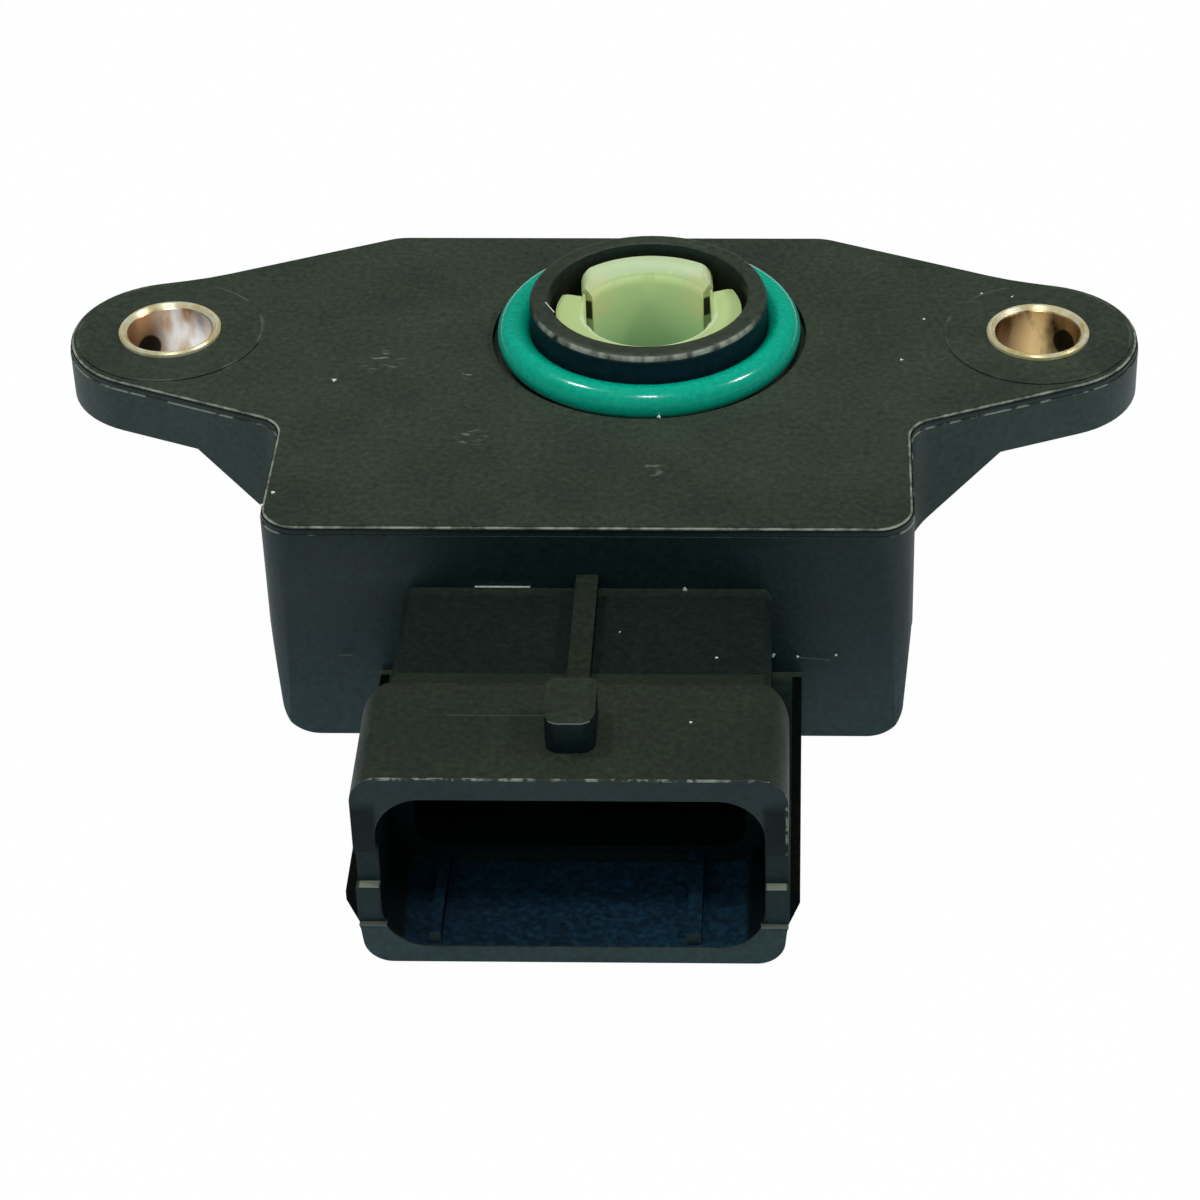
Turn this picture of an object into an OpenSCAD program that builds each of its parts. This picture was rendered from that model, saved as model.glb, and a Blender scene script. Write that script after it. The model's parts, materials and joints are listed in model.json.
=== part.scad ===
// Throttle position sensor: flat moulded body with two ears, a collar with its seal ring,
// a turning driver inside the collar and a three-blade connector at the front.
// Origin: on the collar axis, at the mounting face. +Z points out of the mounting face,
// the connector points along -Y. Millimetres.

/* [Body plan] */
// Distance between the two mounting holes
hole_pitch = 54; // [53:0.5:56]
// Sideways offset of the body's middle from the collar axis
body_x = -2.9; // [-4:0.1:-2]
// Radius of the ear ends
ear_r = 6.15; // [6:0.05:6.6]
// Back edge, distance behind the collar axis
back_y = 11.95; // [11.5:0.05:12.5]
// Front wall, distance in front of the collar axis
front_y = 21.35; // [21:0.05:22]
// Half width of the body at the mounting face
body_half = 18.95; // [18.7:0.05:19.3]
// Half width of the straight back edge
back_half = 13.8; // [13:0.1:14.4]
// Depth of the body from mounting face to back
body_h = 15.3; // [15:0.1:16]
// Thickness of the ears
ear_t = 3.5; // [3.2:0.1:4]
// Chamfer along the edge of the mounting face
edge_c = 0.25; // [0.15:0.05:0.35]
// Depth of the parting line under the mounting face
part_z = 0.55; // [0.45:0.05:0.8]
// Outward step at the parting line
part_step = 0.07; // [0.04:0.01:0.1]
// Taper of the walls over the whole depth
draft = 0.4; // [0.2:0.05:0.5]

/* [Ears] */
// Distance from the middle where the under-ear slope starts
slope_x = 24.5; // [24:0.1:25]
// Depth where the slope meets the body side
slope_z = 8; // [7.6:0.1:8.4]
// Outer radius of the brass bushes
bush_r = 3.17; // [3.1:0.01:3.3]
// Bore radius of the brass bushes
bush_bore = 2.6; // [2.55:0.01:2.7]
// How far the bushes stand above the mounting face
bush_proud = 0.38; // [0.3:0.01:0.45]
// Radius of the flat pad round each hole
pad_r = 5.8; // [5.5:0.05:5.85]
// Height of the flat pad
pad_h = 0.08; // [0.06:0.01:0.12]

/* [Collar and seal] */
// Outer radius of the collar
collar_r = 7.35; // [7.3:0.01:7.4]
// Inner radius of the collar mouth
collar_in = 6.15; // [6.1:0.01:6.25]
// Height of the collar above the mounting face
collar_h = 2.9; // [2.7:0.05:3.1]
// Rounding of the collar's outer rim
collar_round = 0.4; // [0.2:0.05:0.45]
// Outer radius of the recess for the seal ring
recess_r = 9.75; // [9.7:0.01:9.85]
// Depth of the recess
recess_d = 0.7; // [0.6:0.05:0.8]
// Thickness of the seal ring's section
ring_t = 2.1; // [2:0.02:2.16]
// Flat that the stretched ring shows against collar and floor
ring_flat = 0.03; // [0.02:0.01:0.05]

/* [Rotor] */
// Outer radius of the driver inside the collar
hub_r = 5.75; // [5.7:0.01:5.8]
// Running clearance of the driver in its bearing
run_gap = 0.05; // [0.03:0.01:0.08]
// Bore radius for the throttle shaft
shaft_r = 3.85; // [3.8:0.01:3.9]
// Distance from the axis to the flat in the bore
shaft_flat = 3; // [2.95:0.05:3.2]
// Depth where the bore narrows to its end with the flat
flat_z = 5; // [4.8:0.1:5.5]
// Bore radius in that end
end_r = 3.5; // [3.4:0.05:3.6]
// Height of the driver above the mounting face
hub_top = 1.65; // [1.55:0.05:1.75]
// Height of the spring tongue above the mounting face
tongue_top = 2.2; // [2.1:0.05:2.3]
// Half width of the spring tongue
tongue_half = 4.1; // [4.05:0.05:4.2]
// Distance from the middle to the slots beside the tongue
slot_x = 3.45; // [3.4:0.05:3.5]
// Width of the slots beside the tongue
tongue_gap = 0.43; // [0.38:0.01:0.48]
// Angle of the driver at rest
rest_deg = 4; // [0:1:8]
// Travel of the driver between its stops
travel_deg = 96; // [95:1:98]
// Radius of the driver's flange
flange_r = 9.6; // [9.5:0.05:9.7]
// Thickness of the flange
flange_t = 1.4; // [1.3:0.05:1.5]

/* [Connector] */
// Half width of the shroud
shroud_half = 11.8; // [11.7:0.05:11.9]
// Front of the shroud, distance from the collar axis
shroud_y = 41.5; // [41:0.1:42]
// Length of the shroud
shroud_l = 8.6; // [8.4:0.1:9]
// Top of the shroud below the mounting face
shroud_z = 2.4; // [2.3:0.05:2.5]
// Half width of the plug mouth
mouth_half = 10.55; // [10.5:0.05:10.6]
// Top of the plug mouth below the mounting face
mouth_top = 3.83; // [3.8:0.01:3.9]
// Thickness of the shroud under the plug mouth
mouth_floor = 1.07; // [1:0.01:1.15]
// Depth of the plug mouth
mouth_d = 7.4; // [7.2:0.1:7.6]
// Step from the plug mouth in to the contact room
room_step = 1.2; // [1.1:0.05:1.3]
// Depth of the contact room, from the shroud's front
room_d = 13.6; // [13.2:0.1:14]
// Distance of the blade tips inside the shroud's front
blade_in = 7.6; // [7.5:0.1:8]
// Half width of the neck
neck_half = 10.7; // [10.6:0.05:10.8]
// Top of the neck below the mounting face
neck_z = 4.26; // [4.2:0.02:4.4]
// Half width over the side flanges
wing_half = 12.45; // [12.4:0.05:12.6]
// Top of the side flanges above the back face
wing_up = 4.9; // [4.7:0.1:5.1]
// Half width of the connector's foot at the back face
foot_half = 11.5; // [11.3:0.1:11.7]
// Height of the foot's edge above the back face
foot_up = 2.4; // [2.2:0.1:2.6]
// Width of the latch nub
nub_w = 2.75; // [2.6:0.05:2.9]
// Length of the latch nub
nub_l = 4; // [3.8:0.1:4.2]
// Height of the latch nub over the shroud
nub_h = 2.1; // [1.9:0.05:2.2]
// Distance of the latch nub behind the shroud's front
nub_back = 2.3; // [2.2:0.1:2.5]
// Width of the rib on the neck
rib_w = 1.28; // [1.2:0.02:1.4]
// Height of the rib on the neck
rib_h = 1; // [0.9:0.05:1.1]
// Pitch of the three blades
pin_pitch = 5; // [5:0.1:5]
// Width of a blade
blade_w = 2.8; // [2.8:0.1:2.8]
// Thickness of a blade
blade_t = 0.8; // [0.8:0.1:0.8]

/* [Inside] */
// Wall of the body round the inside room
wall = 2; // [1.9:0.1:2.2]
// Thickness of the mounting face over the inside room
roof_t = 2.2; // [2.1:0.05:2.3]
// Thickness of the rear cover
cover_t = 1.6; // [1.5:0.05:1.7]
// Gap round the rear cover
cover_gap = 0.1; // [0.05:0.05:0.15]
// Width of the ledge that carries the cover
ledge = 1; // [0.9:0.05:1.1]
// Depth of the track board's upper face
board_z = 6.6; // [6.5:0.1:6.8]
// Gap between the track board and the walls
board_gap = 0.6; // [0.5:0.05:0.7]
// Thickness of the track board
board_t = 1.2; // [1.1:0.1:1.3]
// Thickness of printed tracks and conductors
print_t = 0.08; // [0.06:0.01:0.1]
// Thickness of the wiper sheet
wiper_t = 0.25; // [0.2:0.05:0.3]

/* [Hidden] */
$fn = 96;
black = "#262a27";
brass = "#b8934a";
teal = "#0f9c86";
pale = "#dfe8b4";

hole_x = hole_pitch / 2;
tip_x = hole_x + ear_r;
back_slope = 0.442;
ear_slope_back = 0.25;
ear_slope_front = 0.42;
blend_r = 16;
blend_x = 25.5;
blend_y = back_y - back_slope * (blend_x - back_half);
tip_back_y = blend_y - ear_slope_back * (tip_x - blend_x);
tip_front_y = -4.2;
notch_y = tip_front_y - ear_slope_front * (tip_x - body_half);
corner_r = 2.2;
notch_r = 2;
back_r = 3;

floor_z = -body_h + mouth_floor;
mid_z = (floor_z - mouth_top) / 2;
wing_z = body_h - wing_up;
conn_x = body_x + 0.05;
shroud_back = shroud_y - shroud_l;
mouth_r = 2.6;
neck_bottom = body_h - 0.7;
cover_z = body_h - cover_t;
leg_y = -front_y + wall + 3.15;
leg_t = 1.2;
seal_half = pin_pitch + 2.2;
lower_hub_r = 5;
hub_bottom = cover_z - 1.5;
bore_bottom = hub_bottom - 2.6;
flange_z = roof_t + 0.12;
flange_low = flange_z + flange_t;
tab_deg = 222;
slot_z = 2.1;
lead_in = 0.9;
tab_half = 7;
stop_half = 5;
stop_gap = 0.6;
tab_r = 11.6;
stop_r = 12.2;
stop_in = flange_r + 0.25;
track_edge = 0.25;
track_r = back_y - wall - board_gap - track_edge;
track_w = 1.2;
in_track = [track_r - 2.7, track_r - 1.6];
out_track = [track_r - track_w, track_r];
peg_r = track_r - 1.35;
track_from = 48;
track_to = 170;
sweep_from = 62;
print_z = -board_z + print_t;
room_half = body_half - wall;
supply_x = body_x + room_half - board_gap - 1;
supply_y = back_y - wall - board_gap - 0.95;
ground_x = body_x - room_half + 6.45;

// Points of an arc round c, from angle a to angle b, one about every 6 degrees.
function arc(c, r, a, b) = let (n = max(2, ceil(abs(b - a) / 6)))
    [for (i = [0:n]) let (t = a + (b - a) * i / n) c + r * [cos(t), sin(t)]];
function unit(v) = v / norm(v);
function turn(a, b) = a[0] * b[1] - a[1] * b[0];

// A closed outline with its corners rounded. Each corner is [x, y, radius], listed
// counter-clockwise, and inset moves the whole outline inward.
function rounded(c, inset = 0) = [for (i = [0:len(c) - 1])
    let (n = len(c),
        p = [c[i][0], c[i][1]],
        before = unit(p - [c[(i + n - 1) % n][0], c[(i + n - 1) % n][1]]),
        after = unit([c[(i + 1) % n][0], c[(i + 1) % n][1]] - p),
        side = turn(before, after) > 0 ? 1 : -1,
        half = acos(max(-1, min(1, before * after))) / 2,
        miter = [-before[1] - after[1], before[0] + after[0]],
        centre = p + side * unit(miter) * c[i][2] / cos(half),
        start = atan2(-side * before[0], side * before[1]))
    each arc(centre, c[i][2] - side * inset, start, start + side * 2 * half)];

function mirrored(c) = [for (i = [len(c) - 1:-1:0]) [-c[i][0], c[i][1], c[i][2]]];

left_half = [
    [-back_half, back_y, back_r],
    [-blend_x, blend_y, blend_r],
    [-tip_x, tip_back_y, ear_r],
    [-tip_x, tip_front_y, ear_r],
    [-body_half, notch_y, notch_r],
    [-body_half, -front_y, corner_r]];
plan = concat(left_half, mirrored(left_half));

// Layers of the body: [lower height, upper height, inset]. The upper ones round the edge.
layers = [[-body_h, -part_z, -part_step], [-part_z, -0.8 * edge_c, 0],
    [-0.8 * edge_c, -0.3 * edge_c, 0.3 * edge_c], [-0.3 * edge_c, 0, 0.8 * edge_c]];

// A flat shape drawn in x and z, pushed along y from y0 to y1.
module along_y(y0, y1) {
    translate([0, y1, 0])
        rotate([90, 0, 0])
            linear_extrude(y1 - y0) children();
}

// A ring sector, from the two radii, two angles and two heights.
module sector(r0, r1, a0, a1, z0, z1) {
    translate([0, 0, z0])
        linear_extrude(z1 - z0)
            polygon(concat(arc([0, 0], r1, a0, a1), arc([0, 0], r0, a1, a0)));
}

// Front view of the body: ears, slopes under them and rounded lower corners.
module front_view() {
    wide = tip_x + 1;
    low = body_half - draft;
    polygon(concat(
        [[wide, 1], [-wide, 1], [-wide, -ear_t], [-slope_x, -ear_t], [-body_half, -slope_z]],
        arc([-low + corner_r, -body_h + corner_r], corner_r, 180, 270),
        arc([low - corner_r, -body_h + corner_r], corner_r, 270, 360),
        [[body_half, -slope_z], [slope_x, -ear_t], [wide, -ear_t]]));
}

// Side view of the body: the front and back walls lean in toward the back.
module side_view() {
    polygon([[-front_y - 1, 1], [-front_y - 1, -part_z], [-front_y - part_step, -part_z], [-front_y + draft, -body_h],
        [back_y - draft, -body_h], [back_y + part_step, -part_z], [back_y + 1, -part_z], [back_y + 1, 1]]);
}

module body_block() {
    reach = tip_x + 2;
    intersection() {
        for (l = layers)
            translate([0, 0, l[0]]) linear_extrude(l[1] - l[0]) polygon(rounded(plan, l[2]));
        along_y(-front_y - 2, back_y + 2) front_view();
        translate([-reach, 0, 0]) rotate([90, 0, 90]) linear_extrude(2 * reach) side_view();
    }
}

// The inside room of the body, seen from above.
room = [
    [-back_half + 0.6, back_y - wall, 2],
    [-room_half, back_y - wall - 1.9, 2],
    [-room_half, -front_y + wall, 1.5],
    [room_half, -front_y + wall, 1.5],
    [room_half, back_y - wall - 1.9, 2],
    [back_half - 0.6, back_y - wall, 2]];

module collar() {
    rotate_extrude()
        polygon(concat(
            [[collar_in, -roof_t], [collar_r, -roof_t]],
            arc([collar_r - collar_round, collar_h - collar_round], collar_round, 0, 90),
            [[collar_in + 0.08, collar_h], [collar_in, collar_h - 0.08]]));
}

// Front view of the shroud and of the wide lower part of the connector.
shroud_view = [
    [-foot_half, -body_h, 1.6], [foot_half, -body_h, 1.6], [foot_half + 0.25, foot_up - body_h, 0.6],
    [wing_half, -wing_z - 0.7, 0.15], [wing_half, -wing_z, 0.1], [shroud_half, -wing_z, 0.1],
    [shroud_half, -shroud_z, 1.6], [-shroud_half, -shroud_z, 1.6], [-shroud_half, -wing_z, 0.1], [-wing_half, -wing_z, 0.1],
    [-wing_half, -wing_z - 0.7, 0.15], [-foot_half - 0.25, foot_up - body_h, 0.6]];
mouth_view = [
    [-mouth_half, floor_z, mouth_r], [mouth_half, floor_z, mouth_r],
    [mouth_half, -mouth_top, mouth_r], [-mouth_half, -mouth_top, mouth_r]];
// Keys on the floor of the mouth: [place, width].
keys = [[-7.7, 0.6], [6.6, 0.8]];

// Plan of the shroud with its rounded rear shoulders.
module shroud_plan() {
    shoulder = 1.8;
    translate([0, 0, -body_h - 1])
        linear_extrude(body_h)
            polygon(concat(
                [[-wing_half - 1, -shroud_y], [wing_half + 1, -shroud_y], [wing_half + 1, -shroud_back - shoulder],
                    [shroud_half, -shroud_back - shoulder]],
                arc([shroud_half - shoulder, -shroud_back - shoulder], shoulder, 0, 90),
                arc([-shroud_half + shoulder, -shroud_back - shoulder], shoulder, 90, 180),
                [[-wing_half - 1, -shroud_back - shoulder]]));
}

module latch_nub() {
    front = -shroud_y + nub_back;
    half = nub_w / 2;
    translate([0, 0, -shroud_z - 0.2])
        linear_extrude(nub_h + 0.2)
            polygon(rounded([[-half, front, 0.85], [half, front, 0.85],
                [half, front + nub_l, 0.6], [-half, front + nub_l, 0.6]]));
}

module connector() {
    step_y = -shroud_y + mouth_d;
    rim_x = (shroud_half + mouth_half) / 2;
    ramp_y = -shroud_back + 3.4;
    translate([conn_x, 0, 0]) {
        difference() {
            union() {
                intersection() {
                    along_y(-shroud_y, -shroud_back + 0.01) polygon(rounded(shroud_view));
                    shroud_plan();
                }
                // neck, its rib and the ramp up to the shroud
                along_y(step_y, -front_y + 1.2)
                    polygon([[-neck_half, -neck_bottom], [neck_half, -neck_bottom], [neck_half, -neck_z - 0.4],
                        [neck_half - 0.4, -neck_z], [-neck_half + 0.4, -neck_z], [-neck_half, -neck_z - 0.4]]);
                translate([-rib_w / 2, -shroud_back + 0.2, -neck_z - 0.2])
                    cube([rib_w, shroud_back - front_y + 0.8, rib_h + 0.2]);
                translate([-neck_half + 0.4, 0, 0])
                    rotate([90, 0, 90])
                        linear_extrude(2 * neck_half - 0.8)
                            polygon([[ramp_y, -neck_z], [ramp_y, -neck_z - 0.4], [-shroud_back - 0.4, -neck_z - 0.4],
                                [-shroud_back - 0.4, -shroud_z], [-shroud_back, -shroud_z]]);
                // wide lower part that runs on to the body
                intersection() {
                    along_y(-shroud_back - 2.4, -front_y + 1.2) polygon(rounded(shroud_view));
                    translate([-20, -shroud_back - 2.4, -body_h - 1]) cube([40, 20, body_h + 1 - wing_z]);
                }
            }
            // plug mouth and the contact room behind it
            along_y(-shroud_y - 1, step_y) polygon(rounded(mouth_view));
            along_y(step_y - 1, -shroud_y + room_d) polygon(rounded(mouth_view, room_step));
            // notches in both side rims
            for (s = [-1, 1]) {
                translate([s * rim_x - 1.5, -shroud_y - 1, 0.2 - wing_z]) cube([3, 1.8, 2.7]);
                translate([s * rim_x - 1.5, -shroud_y - 1, -wing_z - 2.3]) cube([3, 1.3, 2.6]);
            }
        }
        for (k = keys)
            translate([k[0] - k[1] / 2, -shroud_y + 0.3, floor_z - 0.3]) cube([k[1], mouth_d, 1.1]);
        latch_nub();
    }
}

// Pockets that core out the neck from the back face.
module neck_pockets() {
    start = -shroud_y + room_d + 1.2;
    for (s = [-1, 1])
        translate([conn_x + s * 5.6 - 4.6, start, -body_h - 1])
            cube([9.2, -front_y - 1.2 - start, 1 + body_h + mid_z - blade_w / 2 - 1.5]);
}

// Staking posts that carry the track board.
posts = [
    [body_x - room_half + 6.35, -front_y + wall + 7.35],
    [body_x + room_half - 4.55, -front_y + wall + 3.85],
    [body_x - room_half + 7.65, back_y - wall - 4.45]];

module terminal(i) {
    x = conn_x + i * pin_pitch;
    tip = shroud_y - blade_in;
    tip_c = 0.7;
    top = mid_z + blade_w / 2;
    low = mid_z - blade_w / 2;
    translate([x - blade_t / 2, 0, 0])
        rotate([90, 0, 90])
            linear_extrude(blade_t)
                polygon([[-tip, low + tip_c], [-tip + tip_c, low], [leg_y + leg_t / 2, low], [leg_y + leg_t / 2, -board_z + 0.7],
                    [leg_y - leg_t / 2, -board_z + 0.7], [leg_y - leg_t / 2, low + leg_t], [-front_y + 0.9, low + leg_t],
                    [-front_y - 0.4, top], [-tip + tip_c, top], [-tip, top - tip_c]]);
}

module stop_block(a) {
    sector(stop_in, stop_r, a - stop_half, a + stop_half, -flange_low - 0.2, -roof_t + 0.5);
}

module housing() {
    color(black)
        difference() {
            union() {
                difference() {
                    union() {
                        translate([body_x, 0, 0]) {
                            body_block();
                            for (s = [-1, 1])
                                translate([s * hole_x, 0, -1]) cylinder(h = 1 + pad_h, r = pad_r);
                        }
                        connector();
                    }
                    // inside room and seat of the rear cover
                    translate([body_x, 0, -body_h - 1]) linear_extrude(body_h + 1 - roof_t) polygon(rounded(room));
                    translate([body_x, 0, -body_h - 1]) linear_extrude(1 + cover_t) polygon(rounded(room, -ledge));
                    translate([0, 0, -recess_d]) cylinder(h = 3, r = recess_r);
                    neck_pockets();
                }
                collar();
                translate([0, 0, -roof_t]) cylinder(h = roof_t + 0.3, r = collar_in + 0.4);
                // stops and staking posts
                stop_block(tab_deg - tab_half - stop_half - stop_gap);
                stop_block(tab_deg + travel_deg + tab_half + stop_half + stop_gap);
                for (p = posts) {
                    translate([p[0], p[1], -board_z]) cylinder(h = board_z - roof_t + 0.5, r = 1.6);
                    translate([p[0], p[1], -board_z - board_t - 0.1]) cylinder(h = board_t + 0.2, r = 0.75);
                    translate([p[0], p[1], -board_z - board_t - 0.75]) cylinder(h = 0.75, r = 1.35);
                }
            }
            translate([0, 0, -roof_t - 1]) cylinder(h = roof_t + 6, r = hub_r + run_gap);
            translate([0, 0, 0.3]) cylinder(h = collar_h, r = collar_in);
            for (s = [-1, 1])
                translate([body_x + s * hole_x, 0, -ear_t - 1]) cylinder(h = ear_t + 2, r = bush_r);
            for (i = [-1, 0, 1]) terminal(i);
        }
}

module rear_cover() {
    ring_out = lower_hub_r + 1.5;
    color(black)
        difference() {
            union() {
                translate([body_x, 0, -body_h]) linear_extrude(cover_t) polygon(rounded(room, -ledge + cover_gap));
                translate([0, 0, -cover_z - 0.2]) cylinder(h = 3.4, r = ring_out);
                // stiffening ribs on the inside
                for (a = [25, 155, 205, 335])
                    rotate(a) translate([ring_out - 0.3, -0.5, -cover_z - 0.2]) cube([6.2, 1, 1.4]);
            }
            translate([0, 0, -cover_z]) cylinder(h = 5, r = lower_hub_r + run_gap);
        }
}

module bush(side) {
    c = 0.3;
    top = bush_proud;
    color(brass)
        translate([body_x + side * hole_x, 0, 0])
            rotate_extrude()
                polygon([[bush_bore, -ear_t + c], [bush_bore + c, -ear_t], [bush_r, -ear_t], [bush_r, top - 0.12],
                    [bush_r - 0.12, top], [bush_bore + c, top], [bush_bore, top - c]]);
}

module bush_left() bush(-1);

module bush_right() bush(1);

module o_ring() {
    r = ring_t / 2;
    color(teal)
        rotate_extrude()
            intersection() {
                translate([collar_r - ring_flat + r, -recess_d - ring_flat + r]) circle(r);
                translate([collar_r, -recess_d]) square([ring_t, ring_t]);
            }
}

// Plan of the slot right of the tongue, with the rounded end of the wall beside it.
tongue_slot = [
    [slot_x, -1.2, 0.1], [slot_x + tongue_gap, -1.2, 0.1], [slot_x + tongue_gap, 1.9, 0.1], [hub_r - 0.2, 2.5, 0.8],
    [hub_r + 0.8, -0.6, 0.1], [hub_r + 1.8, 5.5, 0.1], [tongue_half, 5.5, 0.1], [tongue_half, 2.5, 0.1], [slot_x, 2.15, 0.1]];

module rotor() {
    color(pale)
        rotate(rest_deg)
            difference() {
                union() {
                    translate([0, 0, -roof_t - 0.5]) cylinder(h = roof_t + 0.5 + hub_top, r = hub_r);
                    intersection() {
                        translate([0, 0, -roof_t]) cylinder(h = roof_t + tongue_top, r = hub_r);
                        along_y(0.5, hub_r + 1)
                            polygon(rounded([[-tongue_half, -roof_t, 0.1], [tongue_half, -roof_t, 0.1],
                                [tongue_half, tongue_top, 0.7], [-tongue_half, tongue_top, 0.7]]));
                    }
                    translate([0, 0, -flange_low]) cylinder(h = flange_t, r = flange_r);
                    translate([0, 0, -hub_bottom]) cylinder(h = hub_bottom - flange_z, r = lower_hub_r);
                    rotate(tab_deg - rest_deg)
                        sector(flange_r - 0.5, tab_r, -tab_half, tab_half, -flange_low, -flange_z);
                    // pegs that stake the wiper
                    for (a = [sweep_from - 24, sweep_from - 8])
                        rotate(a - rest_deg) translate([peg_r, 0, -flange_low - wiper_t - 0.35]) {
                            cylinder(h = 1, r = 0.45);
                            cylinder(h = 0.35, r = 0.75);
                        }
                }
                // bore, with a narrower end that has the flat
                translate([0, 0, -flat_z]) cylinder(h = flat_z + 6, r = shaft_r);
                difference() {
                    translate([0, 0, -bore_bottom]) cylinder(h = bore_bottom, r = end_r);
                    translate([-shaft_r, -shaft_r - 1, -bore_bottom - 1])
                        cube([2 * shaft_r, shaft_r + 1 - shaft_flat, bore_bottom + 1 - flat_z]);
                }
                translate([0, 0, tongue_top - lead_in])
                    cylinder(h = lead_in + 0.2, r1 = shaft_r, r2 = shaft_r + lead_in + 0.2);
                // slots that free the tongue
                for (s = [0, 1])
                    mirror([s, 0, 0])
                        translate([0, 0, -slot_z]) linear_extrude(slot_z + 5) polygon(rounded(tongue_slot));
            }
}

// One wiper finger: runs along the track, bends down and touches it with its tip.
module finger(r, w) {
    top = -flange_low;
    touch = print_z + 0.02;
    translate([r - w / 2, 0, 0])
        rotate([90, 0, 90])
            linear_extrude(w)
                polygon([[-0.4, top], [-0.4, top - wiper_t], [0.3, top - wiper_t], [2.6, touch + 0.5], [3, touch],
                    [3.4, touch], [3.8, touch + 0.5], [3.6, touch + 0.6], [3.2, touch + 0.28], [2.7, touch + 0.75], [0.5, top]]);
}

module wiper() {
    top = -flange_low;
    back = sweep_from - 30;
    color("#c9c2a8")
        difference() {
            union() {
                sector(in_track[0] - 0.1, out_track[1], back, sweep_from, top - wiper_t, top);
                for (r = [in_track[0] + 0.25, in_track[1] - 0.25, out_track[0] + 0.25, out_track[1] - 0.3])
                    rotate(sweep_from) finger(r, 0.4);
            }
            for (a = [sweep_from - 24, sweep_from - 8])
                rotate(a) translate([peg_r, 0, top - 1]) cylinder(h = 2, r = 0.5);
        }
}

module track_board() {
    color("#3f6b3a")
        difference() {
            translate([body_x, 0, -board_z - board_t]) linear_extrude(board_t) polygon(rounded(room, board_gap));
            translate([0, 0, -board_z - 5]) cylinder(h = 10, r = lower_hub_r + 0.7);
            for (p = posts) translate([p[0], p[1], -board_z - 5]) cylinder(h = 10, r = 0.85);
            for (i = [-1, 0, 1])
                translate([conn_x + i * pin_pitch, leg_y, -board_z - 5]) cylinder(h = 10, r = 0.95);
        }
}

module resistor_track() {
    color("#1c1c1e") sector(out_track[0], out_track[1], track_from, track_to, -board_z, print_z);
}

module collector_track() {
    color("#1c1c1e") sector(in_track[0], in_track[1], track_from, track_to, -board_z, print_z);
}

// Edge points of a band of width w along the points p, with mitred corners.
function side_step(p, i) = let (
    before = i > 0 ? unit(p[i] - p[i - 1]) : unit(p[1] - p[0]),
    after = i < len(p) - 1 ? unit(p[i + 1] - p[i]) : before,
    across = [-before[1] - after[1], before[0] + after[0]])
    across / (1 + before * after);
function band(p, w) = concat(
    [for (i = [0:len(p) - 1]) p[i] + side_step(p, i) * w / 2],
    [for (i = [len(p) - 1:-1:0]) p[i] - side_step(p, i) * w / 2]);

// A printed conductor: a round pad at its first point and a band on to the last one.
module conductor(points) {
    pad = [points[0][0], points[0][1], 0];
    translate([0, 0, -board_z])
        difference() {
            union() {
                linear_extrude(print_t) polygon(band(points, 0.8));
                translate(pad) cylinder(h = print_t, r = 1.55);
            }
            translate(pad) cylinder(h = 1, r = 0.95, center = true);
            translate([0, 0, -1]) linear_extrude(2) tracks_flat();
        }
}

// Both tracks in plan, with the strip between them.
module tracks_flat() {
    polygon(concat(arc([0, 0], out_track[1], track_from, track_to), arc([0, 0], in_track[0], track_to, track_from)));
}

module trace_supply() {
    color("#b9bcc0")
        conductor([[conn_x + pin_pitch, leg_y], [conn_x + pin_pitch + 1.5, leg_y + 2.7], [supply_x, leg_y + 7.2],
            [supply_x, supply_y - 2.8], [supply_x - 2, supply_y], [track_r - 2.3, supply_y],
            [track_r - 3.75, track_r - 2.5]]);
}

module trace_signal() {
    color("#b9bcc0")
        conductor([[conn_x, leg_y], [conn_x - 3.15, leg_y + 4.7], [ground_x + 3.4, leg_y + 9.2],
            [ground_x + 3, -1.6], [2.4 - track_r, 1.3]]);
}

module trace_ground() {
    color("#b9bcc0")
        conductor([[conn_x - pin_pitch, leg_y], posts[0] + [3, -1.5], [ground_x + 1, leg_y + 7.4],
            [ground_x, -3], [ground_x, 1.6], [0.6 - track_r, 2]]);
}

module terminal_supply() color("#c8c9c4") terminal(1);

module terminal_signal() color("#c8c9c4") terminal(0);

module terminal_ground() color("#c8c9c4") terminal(-1);

module solder(i) {
    color("#a9adb1")
        translate([conn_x + i * pin_pitch, leg_y, 0])
            difference() {
                union() {
                    translate([0, 0, -board_z + print_t]) cylinder(h = 0.55, r1 = 1.5, r2 = 0.85);
                    translate([0, 0, -board_z - board_t]) cylinder(h = board_t + print_t, r = 0.95);
                }
                translate([-blade_t / 2, -leg_t / 2, -board_z - 5]) cube([blade_t, leg_t, 10]);
            }
}

module solder_supply() solder(1);

module solder_signal() solder(0);

module solder_ground() solder(-1);

// A washer bent into three waves.
module wave_washer() {
    n = 72;
    r0 = 3.1;
    r1 = 4.6;
    t = 0.3;
    lift = 0.5;
    base = -cover_z + lift + 0.01;
    points = [for (i = [0:n - 1]) let (a = 360 * i / n, z = base + lift * sin(3 * a))
        each [[r0 * cos(a), r0 * sin(a), z], [r1 * cos(a), r1 * sin(a), z],
            [r1 * cos(a), r1 * sin(a), z + t], [r0 * cos(a), r0 * sin(a), z + t]]];
    color("#9aa0a4")
        polyhedron(points = points,
            faces = [for (i = [0:n - 1], k = [0:3])
                [4 * i + k, 4 * i + (k + 1) % 4, 4 * ((i + 1) % n) + (k + 1) % 4, 4 * ((i + 1) % n) + k]],
            convexity = 6);
}

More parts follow.
